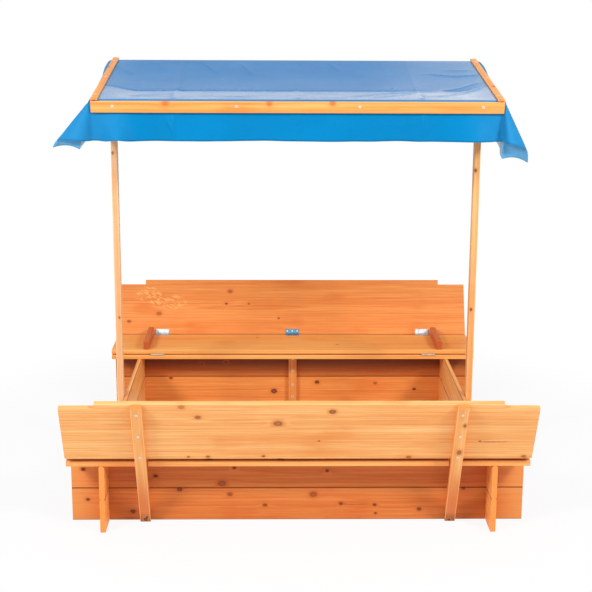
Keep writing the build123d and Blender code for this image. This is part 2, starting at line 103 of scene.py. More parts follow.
class MetalSettings(bpy.types.PropertyGroup):
    zinc: colour("Zinc", "Plate of hinges, bolts and nuts", (0.66, 0.67, 0.67))
    blue_zinc: colour("Blue zinc", "Plate of the middle hinges, passivated blue", (0.16, 0.34, 0.50))
    screw: colour("Screw plate", "Plate of the screws", (0.93, 0.95, 0.98))
    spangle: measure("Spangle", "Size of a zinc crystal", 0.003)
    recess_depth: measure("Recess depth", "Depth of the cross in a screw head", 0.0009)


class SheetSettings(bpy.types.PropertyGroup):
    # The hanging face is lighter than the same face on the roof: painted light shining through the sheet
    # where it hangs
    upper: colour("Upper side", "Coated face of the sheet where it hangs", (0.001, 0.222, 0.52))
    roof: colour("Roof", "The same face on the roof, darker than where it hangs", (0.001, 0.188, 0.50))
    under: colour("Under side", "Inner face of the sheet", (0.13, 0.44, 0.75))
    thickness: measure("Thickness", "Of the sheet", 0.0005)
    left_hang: measure("Left hang", "Sheet past the left rail", 0.143)
    right_hang: measure("Right hang", "Sheet past the right rail", 0.163)
    end_hang: measure("End hang", "Sheet past the front and rear", 0.1125)
    spacing: measure("Spacing", "Of the sheet's mesh", 0.0062)
    sag: measure("Sag", "Of the sheet between the cross rails", 0.014)


class StageSettings(bpy.types.PropertyGroup):
    camera_place: FloatVectorProperty(
        name="Camera", description="Place of the camera", default=(-0.0673, -3.7964, 1.3945),
        subtype="XYZ", unit="LENGTH",
    )
    camera_down: tilt("Down", "Camera's tilt", 13.37)
    camera_right: tilt("Right", "Camera's turn", 1.04)
    camera_roll: tilt("Roll", "Camera's roll", 0.28)
    lens: FloatProperty(name="Lens", description="Focal length in millimetres", default=79.87)
    paper: colour("Paper", "Floor near the object", (0.82, 0.82, 0.82))
    lamp_power: FloatProperty(name="Lamps", description="Power of each of the two lamps in watts", default=84)
    ambient: FloatProperty(name="Ambient", description="Level of the room's light", default=0.52)


def tinted(shade, *factors):
    """A colour made lighter or darker, by one factor or by one for each of its parts."""
    each = factors if len(factors) == 3 else factors * 3
    return tuple(min(1.0, part * factor) for part, factor in zip(shade, each))


# ---------------------------------------------------------------- material graphs
def operation(kind, reflected=False):
    """The method of a wire for one operator: a Math node of a kind, its values reversed if reflected."""

    def add_node(wire, *others):
        values = (*others, wire) if reflected else (wire, *others)
        return wire.graph.add("ShaderNodeMath", {"operation": kind}, dict(enumerate(values)))[0]

    return add_node


class Wire:
    """An output socket. Arithmetic on wires and numbers adds Math nodes to the graph."""

    def __init__(self, graph, socket):
        self.graph = graph
        self.socket = socket

    __add__ = operation("ADD")
    __radd__ = operation("ADD", reflected=True)
    __sub__ = operation("SUBTRACT")
    __rsub__ = operation("SUBTRACT", reflected=True)
    __mul__ = operation("MULTIPLY")
    __rmul__ = operation("MULTIPLY", reflected=True)
    __truediv__ = operation("DIVIDE")
    __rtruediv__ = operation("DIVIDE", reflected=True)
    __pow__ = operation("POWER")
    __abs__ = operation("ABSOLUTE")

    def apply(self, kind, *others):
        """A Math node of a kind on this wire, with others after it where it takes more."""
        return operation(kind)(self, *others)

    def ramp(self, start, end):
        """0 at start to 1 at end, with soft shoulders."""
        values = {"Value": self, "From Min": start, "From Max": end}
        return self.graph.add("ShaderNodeMapRange", {"interpolation_type": "SMOOTHSTEP"}, values)["Result"]


class Outputs:
    """The outputs of a new node, as wires."""

    def __init__(self, graph, node):
        self.graph = graph
        self.node = node

    def __getitem__(self, key):
        return Wire(self.graph, self.node.outputs[key])


class Graph:
    """The nodes that make a material's finish, or the world's light."""

    def __init__(self, holder):
        holder.use_nodes = True
        self.holder = holder
        self.tree = holder.node_tree
        self.tree.nodes.clear()

    def add(self, kind, settings, values):
        """A node of one kind: its settings are made first, then its sockets are set or linked."""
        node = self.tree.nodes.new(kind)
        for name, value in settings.items():
            setattr(node, name, value)
        for key, value in values.items():
            if isinstance(value, Wire):
                self.tree.links.new(value.socket, node.inputs[key])
            else:
                node.inputs[key].default_value = value
        return Outputs(self, node)

    def mix(self, amount, first, second):
        """Two colours mixed by an amount."""
        shades = {0: amount}
        for key, value in ((6, first), (7, second)):
            shades[key] = value if isinstance(value, Wire) else (*value, 1)
        settings = {"data_type": "RGBA", "blend_type": "MIX", "clamp_result": True}
        return self.add("ShaderNodeMix", settings, shades)[2]

    def layered(self, shade, layers):
        """A colour with others laid over it in turn, each as (amount, colour)."""
        for amount, over in layers:
            shade = self.mix(amount, shade, over)
        return shade

    def noise(self, vector, scale, detail=2.0, roughness=0.5):
        values = {"Vector": vector, "Scale": scale, "Detail": detail, "Roughness": roughness}
        return self.add("ShaderNodeTexNoise", {}, values)["Fac"]

    def scaled(self, vector, scale):
        """A vector stretched by three factors."""
        return self.add("ShaderNodeVectorMath", {"operation": "MULTIPLY"}, {0: vector, 1: scale})["Vector"]

    def split(self, vector):
        parts = self.add("ShaderNodeSeparateXYZ", {}, {0: vector})
        return parts["X"], parts["Y"], parts["Z"]

    def local(self, board, offset=(0, 0, 0)):
        """Object coordinates turned into a board's own: along, across and through it."""
        place = self.add("ShaderNodeTexCoord", {}, {})["Object"]
        inverse = board.turn.transposed()
        middle = inverse @ board.middle
        moved = [shift - part for shift, part in zip(offset, middle)]
        values = {"Vector": place, "Location": moved, "Rotation": inverse.to_euler()}
        return self.add("ShaderNodeMapping", {"vector_type": "POINT"}, values)["Vector"]

    def finish(self, height, depth, **sockets):
        """The surface: a Principled shader with relief, joined to the output."""
        values = {name.replace("_", " "): value for name, value in sockets.items()}
        relief = {"Strength": 1.0, "Distance": depth, "Height": height}
        values["Normal"] = self.add("ShaderNodeBump", {}, relief)["Normal"]
        shader = self.add("ShaderNodeBsdfPrincipled", {}, values)["BSDF"]
        self.add("ShaderNodeOutputMaterial", {}, {"Surface": shader})
        return self.holder


# ---------------------------------------------------------------- reading the frame
class Board:
    """Where a planed piece lies: its middle, its turn (along, across, through) and its half sizes."""

    def __init__(self, node):
        mesh = frame["nodes"][node].data
        points = np.empty(len(mesh.vertices) * 3)
        mesh.vertices.foreach_get("co", points)
        points = points.reshape(-1, 3)
        mesh.calc_loop_triangles()
        corners = np.empty(len(mesh.loop_triangles) * 3, dtype=int)
        mesh.loop_triangles.foreach_get("vertices", corners)
        a, b, c = (points[corners.reshape(-1, 3)[:, index]] for index in range(3))
        crosses = np.cross(b - a, c - a)
        areas = np.linalg.norm(crosses, axis=1)
        normals = crosses / np.maximum(areas, 1e-12)[:, None]
        alike = np.abs(normals @ normals.T) > 0.9999
        totals = alike @ areas
        through = normals[np.argmax(totals)]
        square = np.abs(normals @ through) < 0.02
        across = normals[np.argmax(np.where(square, totals, 0))]
        axes = [np.cross(across, through), across, through]
        axes = [axis * np.sign(axis[np.argmax(np.abs(axis))]) for axis in axes]
        axes[2] = np.cross(axes[0], axes[1])
        turned = points @ np.array(axes).T
        self.turn = Matrix([tuple(axis) for axis in axes]).transposed()
        low, high = turned.min(axis=0), turned.max(axis=0)
        self.middle = self.turn @ Vector((low + high) / 2)
        self.half = (high - low) / 2

    @property
    def along(self):
        return self.turn.col[0]

    @property
    def narrow_front(self):
        """Whether its widest face looks sideways, so that the front shows an edge."""
        return abs(self.turn.col[2].x) > 0.9 and abs(self.along.x) < 0.1 and abs(self.along.z) > 0.9


def solids(node):
    """The points of each separate solid of a node, in the order of its mesh."""
    shape = bmesh.new()
    shape.from_mesh(frame["nodes"][node].data)
    bmesh.ops.remove_doubles(shape, verts=shape.verts, dist=1e-6)
    shape.verts.ensure_lookup_table()
    seen = set()
    found = []
    for start in range(len(shape.verts)):
        if start in seen:
            continue
        seen.add(start)
        reached, queue = [], [start]
        while queue:
            index = queue.pop()
            reached.append(tuple(shape.verts[index].co))
            for edge in shape.verts[index].link_edges:
                other = edge.other_vert(shape.verts[index]).index
                if other not in seen:
                    seen.add(other)
                    queue.append(other)
        found.append(np.array(reached))
    shape.free()
    return found


def screw_place(points):
    """A screw's head, the way its shank points, its head radius, shank radius and length."""
    middle = points.mean(axis=0)
    axis = np.linalg.svd(points - middle, full_matrices=False)[2][0]
    reach = (points - middle) @ axis
    radii = np.linalg.norm(points - middle - np.outer(reach, axis), axis=1)
    near_low, near_high = reach < reach.min() + 1e-4, reach > reach.max() - 1e-4
    if radii[near_high].max() > radii[near_low].max():
        axis, reach, near_low, near_high = -axis, -reach, near_high, near_low
    head = points[near_low]
    middle = Vector((head.max(axis=0) + head.min(axis=0)) / 2)
    return middle, Vector(axis), radii[near_low].max(), radii[near_high].max(), np.ptp(reach)


# ---------------------------------------------------------------- making pieces
def piece(name, shape, body, material, smooth_angle=None):
    """A new object from a bmesh, which rides on a body."""
    mesh = bpy.data.meshes.new(name)
    shape.to_mesh(mesh)
    shape.free()
    mesh.materials.append(material)
    obj = bpy.data.objects.new(name, mesh)
    bpy.context.scene.collection.objects.link(obj)
    if smooth_angle is not None:
        mesh.shade_smooth()
        mesh.set_sharp_from_angle(angle=smooth_angle)
    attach(obj, body)
    return obj


def dress(node, material):
    """Gives a node of the frame its finish."""
    mesh = frame["nodes"][node].data
    mesh.materials.clear()
    mesh.materials.append(material)


# ---------------------------------------------------------------- timber
# Knots by board, as (along, across, radius, darkness) from the middle of its widest face
KNOTS = {
    "front_backrest_board": [
        (-0.254, 0.052, 0.0060, 0.5), (-0.054, 0.030, 0.0095, 0.45), (0.082, 0.071, 0.0075, 0.6),
        (-0.294, 0.087, 0.0060, 0.2), (0.050, -0.032, 0.0025, 0.7), (-0.283, -0.089, 0.0030, 0.6),
        (-0.233, -0.088, 0.0040, 0.6), (-0.091, -0.087, 0.0035, 0.8), (0.282, -0.091, 0.0050, 0.5),
        (0.460, -0.034, 0.0025, 0.8), (0.578, -0.089, 0.0050, 0.5),
    ],
    "front_seat_board": [(-0.232, -0.096, 0.0060, 1.0), (-0.048, -0.096, 0.0060, 1.0)],
    "back_backrest_board": [
        (-0.216, 0.055, 0.0060, 0.3), (-0.229, 0.011, 0.0035, 1.0), (-0.151, 0.011, 0.0030, 0.5),
        (-0.462, -0.024, 0.0065, 0.3), (-0.565, -0.052, 0.0050, 0.5), (-0.047, -0.040, 0.0030, 0.6),
    ],
    "back_seat_board": [(0.150, -0.030, 0.0035, 0.4), (-0.120, 0.060, 0.0035, 0.4)],
    "front_upper_board": [
        (-0.568, 0.007, 0.0045, 0.9), (-0.377, -0.012, 0.0050, 1.0), (-0.169, 0.011, 0.0040, 1.0),
        (-0.202, -0.034, 0.0090, 0.35), (0.077, 0.002, 0.0042, 1.0), (0.406, 0.011, 0.0030, 0.8),
    ],
    "front_lower_board": [
        (-0.314, 0.041, 0.0060, 0.8), (-0.181, 0.027, 0.0055, 0.5), (-0.439, -0.021, 0.0055, 0.9),
        (-0.558, 0.013, 0.0040, 0.9), (-0.088, -0.004, 0.0045, 0.7), (0.041, 0.026, 0.0080, 0.4),
        (0.115, 0.000, 0.0045, 1.0), (0.205, -0.004, 0.0040, 1.0), (0.208, -0.028, 0.0030, 0.9),
        (0.324, -0.016, 0.0050, 0.8), (0.441, 0.043, 0.0040, 0.8),
    ],
    "back_upper_board": [(-0.308, -0.002, 0.0040, 0.9), (-0.226, 0.005, 0.0050, 1.0)],
    "back_lower_board": [
        (-0.414, 0.040, 0.0045, 0.8), (-0.063, -0.007, 0.0085, 1.0), (0.084, 0.025, 0.0065, 1.0),
        (0.283, 0.021, 0.0045, 0.5), (0.417, 0.000, 0.0045, 1.0),
    ],
    "front_fascia": [
        (-0.354, 0.010, 0.0060, 0.10), (-0.077, 0.010, 0.0055, 0.12), (0.092, 0.012, 0.0055, 0.10),
    ],
    "left_post": [(0.349, 0.004, 0.0035, 0.5), (-0.140, -0.003, 0.0030, 0.5)],
    "right_post": [(0.301, 0.004, 0.0040, 0.7), (-0.115, 0.003, 0.0040, 0.8)],
    "front_right_batten": [
        (0.054, 0.002, 0.0065, 0.5), (0.149, 0.008, 0.0045, 0.5), (-0.201, -0.003, 0.0040, 1.0),
    ],
    "front_left_batten": [(-0.198, 0.001, 0.0060, 1.0), (-0.188, 0.005, 0.0035, 1.0)],
}
# Shakes by board, as (start, end, across): fine dark cracks along the grain
SHAKES = {
    "front_lower_board": [(0.117, 0.200, -0.002)],
    "front_backrest_board": [(0.462, 0.545, -0.036)],
}
# Scuffed patches by board, as (along, across, half length, half height)
SCUFFS = {
    "back_backrest_board": [(-0.50, 0.045, 0.055, 0.035), (-0.43, 0.018, 0.075, 0.032)],
}


KNOT_SEED = 100  # for the boards that have no knots chosen
RIM_START, RIM_END = 0.0032, 0.0006  # how far from a board's edge its rim starts, and is whole


def pale_marks(graph, along, across, patches):
    """Short pale scratches inside scuffed patches."""
    total = 0
    for place, height, reach, rise in patches:
        distance = ((along - place) / reach) ** 2 + ((across - height) / rise) ** 2
        total = total + distance.ramp(1.0, 0.3)
    slanted = graph.add("ShaderNodeCombineXYZ", {}, {0: along + across * 1.5, 1: across})["Vector"]
    return total * graph.noise(slanted, 95.0, 3.0).ramp(0.51, 0.57)


def dark_cracks(along, across, shakes, rough):
    """Fine cracks that run with the grain."""
    total = 0
    for start, end, height in shakes:
        beside = abs(across - height + (rough - 0.5) * 0.004)
        crack = beside.ramp(0.0012, 0.0004) * along.ramp(start, start + 0.01)
        total = total + crack * along.ramp(end, end - 0.03)
    return total


def knot_fields(along, face, rough, knots):
    """What knots do: bend the rings, redden the wood about them, and darken their disc and its rim."""
    warp = halo = collar = core = rim = 0
    for place, height, size, darkness in knots:
        reach = ((along - place) * 0.75) ** 2 + (face - height) ** 2
        distance = reach.apply("SQRT") + (rough - 0.5) * 0.003
        near = 1 / (1 + (distance / (2.0 * size)) ** 2)
        warp = warp + near * near * 1.5
        halo = halo + near * near * near
        core = core + distance.ramp(size * 0.88, size * 0.64) * (0.1 + 0.85 * darkness)
        inner, outer = distance.ramp(size * 0.40, size * 0.65), distance.ramp(size, size * 0.78)
        rim = rim + inner * outer * darkness
        collar = collar + distance.ramp(size * 1.9, size * 0.8) * 0.5
    return warp, halo, collar, core, rim


def late_wood(graph, board, here, warp, luck, ring_width):
    """Dark late wood: rings about a heart beside the board, bent by its knots and by slow sways."""
    _, across, through = graph.split(here)
    wander = graph.noise(graph.scaled(here, (0.7, 3, 3)), 1.0, 1.0) - 0.5
    sway = graph.noise(graph.scaled(here, (1.6, 8, 8)), 1.0, 2.0) - 0.5
    heart_across = luck.uniform(-0.5, 0.5) * board.half[1]
    heart_through = luck.choice((-1, 1)) * luck.uniform(0.03, 0.07)
    beside = across - heart_across + wander * 0.035
    below = through - heart_through + sway * 0.012
    radius = beside * beside + below * below
    phase = radius.apply("SQRT") / ring_width + warp + sway * 0.8
    ring = phase.apply("FRACT")
    late = ring.ramp(0.2, 0.86) * (1 - ring.ramp(0.90, 1.0))
    year = phase.apply("FLOOR")
    vigour = graph.add("ShaderNodeTexWhiteNoise", {"noise_dimensions": "1D"}, {"W": year})["Value"]
    return late * (0.15 + vigour * 0.85)


def place_layers(node, board, along, across, early, dark, settings):
    """Tones that a piece has in one place only: painted shade over the battens' lower part and a darker foot,
    painted light at the front walls' outer ends, and a painted shadow along the top of the back wall's upper
    board.
    """
    if "batten" in node:
        foot = -board.half[0]
        # Painted shade: the lower part of a batten is darker, as if less light reached it
        yield along.ramp(0.04, -0.14) * 0.9, tinted(early, 0.76, 0.42, 0.34)
        yield along.ramp(foot + 0.04, foot + 0.008) * 0.75, tinted(dark, 0.35)
    if node in ("front_upper_board", "front_lower_board"):
        # Painted light: the front walls lighter towards their outer ends, in the side walls' stain
        yield abs(along).ramp(0.49, 0.60) * 0.55, tuple(settings.side)
    if node == "back_upper_board":
        # Painted shadow along the top of the back wall's upper board, under the seat
        yield across.ramp(-0.035, 0.010) * 0.92, tinted(dark, 0.38)


def knot_layers(graph, fields, rough, deep, dark, settings):
    """The tones of knots, from the reddened wood about them to their dark rims."""
    halo, collar, core, rim = fields
    heart = tuple(settings.knot)
    brown = tuple(part * 0.35 + knot * 0.65 for part, knot in zip(dark, heart))
    yield (halo * 0.9).apply("MINIMUM", 0.75), deep
    yield (collar * (0.5 + rough)).apply("MINIMUM", 0.8), dark
    yield core.apply("MINIMUM", 0.97), graph.mix(rough.ramp(0.35, 0.6), heart, brown)
    yield rim.apply("MINIMUM", 0.9), heart


def timber(node, board, stain, seed, knots, settings):
    """Stained pine, sawn from a log whose heart lies beside the board."""
    luck = random.Random(seed)
    graph = Graph(bpy.data.materials.new(f"{node}_pine"))
    here = graph.local(board, [luck.uniform(-5, 5), 0, 0])
    along, across, through = graph.split(graph.local(board))
    face = through if board.narrow_front else across
    rough = graph.noise(graph.scaled(here, (60, 300, 300)), 1.0)
    warp, *fields = knot_fields(along, face, rough, knots)
    late = late_wood(graph, board, here, warp, luck, settings.ring)

    fibre = graph.noise(graph.scaled(here, (11, 700, 700)), 1.0, 3.0)
    streak = graph.noise(graph.scaled(here, (2.6, 150, 150)), 1.0, 4.0, 0.7)
    band = graph.noise(graph.scaled(here, (0.8, 26, 26)), 1.0, 2.0)
    cloud = graph.noise(graph.scaled(here, (5, 14, 14)), 1.0, 3.0)
    facing = graph.add("ShaderNodeTexCoord", {}, {})["Normal"]
    dot = graph.add("ShaderNodeVectorMath", {"operation": "DOT_PRODUCT"}, {0: facing, 1: tuple(board.along)})
    end_grain = abs(dot["Value"]).ramp(0.6, 0.9)

    early = tinted(stain, luck.uniform(0.96, 1.04))
    dark = tinted(early, 0.68, 0.44, 0.30)
    deep = tinted(early, 0.86, 0.60, 0.40)
    pale = tinted(early, 1.08, 1.34, 1.75)
    layers = [
        (late * 0.42, dark),
        (streak.ramp(0.50, 0.66) * 0.70, deep),
        (streak.ramp(0.50, 0.32) * 0.75, pale),
        (band.ramp(0.50, 0.70) * 0.38, deep),
        (band.ramp(0.48, 0.30) * 0.34, pale),
        (cloud.ramp(0.54, 0.72) * 0.55, deep),
        (fibre.ramp(0.45, 0.75) * 0.30, dark),
        (end_grain * 0.75, deep),
    ]
    layers += place_layers(node, board, along, across, early, dark, settings)
    rims = [
        abs(part).ramp(half - RIM_START, half - RIM_END)
        for part, half in ((across, board.half[1]), (through, board.half[2]))
    ]
    # Wall boards: painted shade along their eased edges, where they meet; other boards: lighter eased edges
    if "lower_board" in node or "upper_board" in node:
        layers.append((rims[0] * rims[1] * 0.8, tinted(dark, 0.25)))
    else:
        layers.append((rims[0] * rims[1] * 0.55, pale))
    if knots:
        layers += knot_layers(graph, fields, rough, deep, dark, settings)
    if node in SHAKES:
        layers.append((dark_cracks(along, across, SHAKES[node], rough) * 0.8, tuple(settings.knot)))
    if node in SCUFFS:
        scuffs = pale_marks(graph, along, across, SCUFFS[node])
        layers.append((scuffs * 0.8, tinted(early, 1.1, 1.65, 2.5)))

    gloss = 0.5 + (fibre - 0.5) * 0.18 + late * 0.05
    height = fibre * 0.4 + late * 0.4 + streak * 0.2
    return graph.finish(
        height, settings.grain, Base_Color=graph.layered(early, layers), Roughness=gloss,
        Specular_IOR_Level=0.3,
    )


def stain_of(node, settings):
    """The stain of a timber node: each kind of piece took it differently, and the back seat's is made lighter
    as painted light.
    """
    kinds = [
        ("front_backrest", settings.outer),
        ("front_left_batten", settings.outer), ("front_right_batten", settings.outer),
        ("front_seat_board", settings.seat), ("front_fixed", settings.seat),
        ("back_seat_board", settings.lid), ("back_fixed", settings.lid),
        ("seat_blocks", settings.block), ("cleat", settings.back), ("back_lower_board", settings.back),
        ("left_post", settings.left_post), ("right_post", settings.right_post),
        ("left_lower", settings.side), ("left_upper", settings.side),
        ("right_lower", settings.side), ("right_upper", settings.side),
        ("lower_board", settings.wall), ("upper_board", settings.wall),
        ("rail", settings.canopy), ("fascia", settings.canopy), ("strip", settings.canopy),
    ]
    return tuple(next((stain for word, stain in kinds if word in node), settings.bench))


class SANDBOX_OT_finish_timber(bpy.types.Operator):
    """Gives every board, batten, post and rail its own stained pine"""

    bl_idname = "sandbox.finish_timber"
    bl_label = "Finish Timber"

    def execute(self, context):
        settings = context.scene.sandbox_timber
        boards = [node for node, slot in slots.items() if slot.endswith("_timber")]
        if not boards:
            raise RuntimeError("the frame has no timber")
        for seed, node in enumerate(boards):
            board = Board(node)
            knots = KNOTS.get(node)
            if knots is None:
                knots = strewn_knots(board, seed)
            dress(node, timber(node, board, stain_of(node, settings), seed, knots, settings))
        return {"FINISHED"}


def strewn_knots(board, seed):
    """A few knots at places drawn by lot, for a board that has none chosen."""
    luck = random.Random(KNOT_SEED + seed)
    count = int(board.half[0] * 4 + luck.random())
    knots = []
    for _ in range(count):
        place = luck.uniform(-0.9, 0.9) * board.half[0]
        height = luck.uniform(-0.8, 0.8) * board.half[1]
        knots.append((place, height, luck.uniform(0.0025, 0.005), luck.uniform(0.3, 1.0)))
    return knots


# ---------------------------------------------------------------- metal
SCRATCH_DEPTH = 0.00004
WIDE_HEAD = 0.003  # screw heads of a larger radius get more sides
SCREW_SEED = 7


def zinc(name, plate, middle, wear, settings):
    """Zinc plate with crystals and fine scratches, which takes another colour near the middle."""
    graph = Graph(bpy.data.materials.new(name))
    place = graph.add("ShaderNodeTexCoord", {}, {})["Object"]
    cells = {"Vector": place, "Scale": 1 / settings.spangle}
    tone = graph.split(graph.add("ShaderNodeTexVoronoi", {}, cells)["Color"])[0]
    scratch = graph.noise(graph.scaled(place, (150, 1400, 1400)), 1.0, 3.0)
    smudge = graph.noise(place, 90.0, 3.0)
    inner = abs(graph.split(place)[0]).ramp(0.20, 0.10)
    bright = graph.mix(inner, plate, middle)
    dull = graph.mix(inner, tinted(plate, 0.55), tinted(middle, 0.55))
    shade = graph.mix((tone * 0.5 + smudge.ramp(0.4, 0.75) * 0.5) * wear, bright, dull)
    gloss = 0.34 + tone * 0.12 + smudge * 0.16
    return graph.finish(scratch, SCRATCH_DEPTH, Base_Color=shade, Roughness=gloss, Metallic=1.0)


class SANDBOX_OT_finish_metal(bpy.types.Operator):
    """Plates the hinges, bolts, nuts and washers"""

    bl_idname = "sandbox.finish_metal"
    bl_label = "Finish Metal"

    def execute(self, context):
        settings = context.scene.sandbox_metal
        plain, blue = tuple(settings.zinc), tuple(settings.blue_zinc)
        plate = zinc("zinc_plate", plain, blue, wear=1.0, settings=settings)
        for node, slot in slots.items():
            if slot == "zinc_steel":
                dress(node, plate)
        return {"FINISHED"}


def cross_radius(angle, reach, arm):
    """Distance from the middle of a cross-shaped recess to its outline at an angle."""
    turn = abs((angle + math.pi / 4) % (math.pi / 2) - math.pi / 4)
    if math.tan(turn) <= arm / reach:
        return reach / math.cos(turn)
    return arm / math.sin(turn)


def add_screw(shape, head, axis, radius, shank, length, spin, recess):
    """One countersunk screw with a cross recess, its head flush and its shank along the axis."""
    steps = 24 if radius > WIDE_HEAD else 16
    upright = (-axis).to_track_quat("Z", "Y").to_matrix().to_4x4()
    place = Matrix.Translation(head) @ upright @ Matrix.Rotation(spin, 4, "Z")
    # Rings from the recess floor out over the head and down the shank, as (radius, height, is a cross)
    profile = [
        (0.30 * radius, -recess, True),
        (0.62 * radius, -0.0001, True),
        (0.66 * radius, 0.0, True),
        (0.93 * radius, 0.0, False),
        (radius, -0.06 * radius, False),
        (shank, shank - 0.94 * radius, False),
        (shank, -0.8 * length, False),
        (0.15 * shank, -length, False),
    ]
    loops = []
    for reach, height, is_cross in profile:
        ring = bmesh.ops.create_circle(shape, segments=steps, radius=1.0)["verts"]
        for vert in ring:
            angle = math.atan2(vert.co.y, vert.co.x)
            size = cross_radius(angle, reach, 0.27 * reach) if is_cross else reach
            vert.co = Vector((size * math.cos(angle), size * math.sin(angle), height))
        loops.append(ring)
    for inner, outer in zip(loops, loops[1:]):
        edges = [edge for vert in inner for edge in vert.link_edges if edge.other_vert(vert) in inner]
        edges += [edge for vert in outer for edge in vert.link_edges if edge.other_vert(vert) in outer]
        bmesh.ops.bridge_loops(shape, edges=list(dict.fromkeys(edges)))
    for ring in (loops[0], loops[-1]):
        shape.faces.new(ring)
    verts = [vert for ring in loops for vert in ring]
    bmesh.ops.transform(shape, matrix=place, verts=verts)


class SANDBOX_OT_seat_screws(bpy.types.Operator):
    """Puts a screw with a cross recess where the frame holds a plain one"""

    bl_idname = "sandbox.seat_screws"
    bl_label = "Seat Screws"

    def execute(self, context):
        settings = context.scene.sandbox_metal
        bright = tuple(settings.screw)
        plate = zinc("screw_plate", bright, bright, wear=0.35, settings=settings)
        nodes = [node for node, slot in slots.items() if slot == "screw_steel"]
        if not nodes:
            raise RuntimeError("the frame has no screws")
        luck = random.Random(SCREW_SEED)
        for node in nodes:
            shape = bmesh.new()
            for points in solids(node):
                spin = luck.uniform(0, math.pi / 2)
                head, axis, radius, shank, length = screw_place(points)
                recess = min(settings.recess_depth, 0.5 * radius)
                add_screw(shape, head, axis, radius, shank, length, spin, recess)
            bmesh.ops.recalc_face_normals(shape, faces=shape.faces)
            cross = piece(f"{node}_crossed", shape, body_of_node[node], plate, math.radians(35))
            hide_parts(node)
        return {"FINISHED"}


# ---------------------------------------------------------------- canopy sheet
FOLD_LINE = -0.086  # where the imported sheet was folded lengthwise, and where the roof sags most
RAIL_SEAT = 0.020  # how much of the roof's depth lies flat on each cross rail
STRIP_SEAT = 0.018  # how much of its width lies flat under each side strip
STRIP_FADE = 0.024  # how far from the roof's side edge the creases start to flatten
RAIL_PRESS = 0.012  # how far from the roof's end edge they are flat
SAG_SHOULDER = 0.09  # how far from a side strip the sag takes to be whole
END_SPAN, SIDE_SPAN = 0.076, 0.1  # over which the waves of the flaps grow
ROOF_MARGIN = 0.003  # how far past its edges the roof's look reaches
CREASE_WIDTH, RIDGE_WIDTH = 0.0065, 0.006  # in the mesh, and in the finish
CREASE_LEAD, CREASE_RISE, CREASE_FALL = 0.005, 0.03, 0.06  # how a crease fades at its start and end
CREASE_GAIN = 1.7  # of the mesh's creases over the heights listed
WHOLE_CREASE = 0.0032  # height of a crease that shows in full in the finish
WEAVE_PITCH = 0.0022
# Creases, as (start across, start deep, end across, end deep, height) from the middle of the roof
CREASES = [
    (-0.335, 0.37, -0.335, -0.37, 0.0016), (0.0, 0.37, 0.0, -0.37, 0.0012),
    (0.335, 0.37, 0.335, -0.37, 0.0016), (-0.67, FOLD_LINE, 0.69, FOLD_LINE, -0.0016),
    (0.545, 0.045, 0.360, 0.110, 0.0024), (0.535, -0.032, 0.250, -0.150, 0.0020),
    (0.530, -0.081, 0.350, -0.235, 0.0026), (0.530, 0.120, 0.420, 0.165, 0.0016),
    (0.330, -0.140, 0.200, -0.238, 0.0022), (0.325, -0.096, 0.130, -0.235, 0.0020),
    (-0.290, 0.250, -0.225, 0.090, 0.0020), (-0.170, 0.230, -0.120, 0.070, 0.0016),
    (-0.420, 0.240, -0.385, 0.120, 0.0014), (-0.540, 0.190, -0.470, 0.060, 0.0014),
    (-0.300, -0.100, -0.350, -0.075, -0.0030), (0.100, 0.240, 0.130, 0.120, 0.0012),
    (-0.355, -0.300, -0.330, -0.365, 0.0026), (-0.385, -0.310, -0.372, -0.360, 0.0018),
    (0.345, -0.310, 0.350, -0.368, 0.0022),
]
# Each ear by its side and end, in degrees: how far its fold leans out, where it heads from the side
# towards the end, its opening, and how far the side flap beside it swings out
EARS = {
    (-1, -1): (37.5, 0, 13, 13), (1, -1): (25.5, 16, 17, 0),
    (-1, 1): (27, 5, 12, 0), (1, 1): (32, 5, 15, 4),
}


class Canopy:
    """The canopy's own frame: the pivot, its turn and the limits of its pieces in it."""

    def __init__(self):
        depth = Board("right_roof_rail").along
        self.turn = Matrix((Vector((1, 0, 0)), depth, Vector((1, 0, 0)).cross(depth))).transposed()
        self.pivot = Vector(tilt_joint["pos_m"])
        self.place = Matrix.Translation(self.pivot) @ self.turn.to_4x4()
        rails = self.limits("right_roof_rail")
        self.wide, rail_deep, rail_top = rails[1]
        self.high = (rail_top + self.limits("right_top_strip")[0][2]) / 2
        fascia_low = self.limits("rear_fascia")[0]
        self.deep = (rail_deep + fascia_low[1]) / 2
        self.clamped = self.high - fascia_low[2]

    def limits(self, node):
        mesh = frame["nodes"][node].data
        points = np.empty(len(mesh.vertices) * 3)
        mesh.vertices.foreach_get("co", points)
        points = (points.reshape(-1, 3) - np.array(self.pivot)) @ np.array(self.turn)
        return points.min(axis=0), points.max(axis=0)


def eased(value, start, end):
    """0 at start to 1 at end, with soft shoulders."""
    share = min(1.0, max(0.0, (value - start) / (end - start)))
    return share * share * (3 - 2 * share)


def bent(amount, radius):
    """Where a strip of sheet of some length lies past an edge it rounds: outwards and down."""
    quarter = radius * math.pi / 2
    if amount < quarter:
        return radius * math.sin(amount / radius), radius * (1 - math.cos(amount / radius))
    return radius, radius + amount - quarter


def ear_direction(share, lean, heading, bulge, swing):
    """The way from a frame corner to its ear: down the side flap, out to the fold, down the end flap."""
    half = 1 - (math.hypot(2 * share - 1, 0.1) - 0.1) / (math.hypot(1, 0.1) - 0.1)
    lean = lean * half + swing * max(0.0, 1 - 2 * share)
    heading = heading * min(1.0, 2 * share)
    fold = Vector((math.cos(heading), math.sin(heading), 0))
    turned = Vector((-math.sin(heading), math.cos(heading), 0))
    beside = turned * (1.35 * eased(share, 0.38, 0.62) - 0.35)
    straight = Vector((0, 0, -1)) * math.cos(lean) + fold * math.sin(lean)
    return (straight + beside * math.tan(bulge) * math.sin(math.pi * half)).normalized()


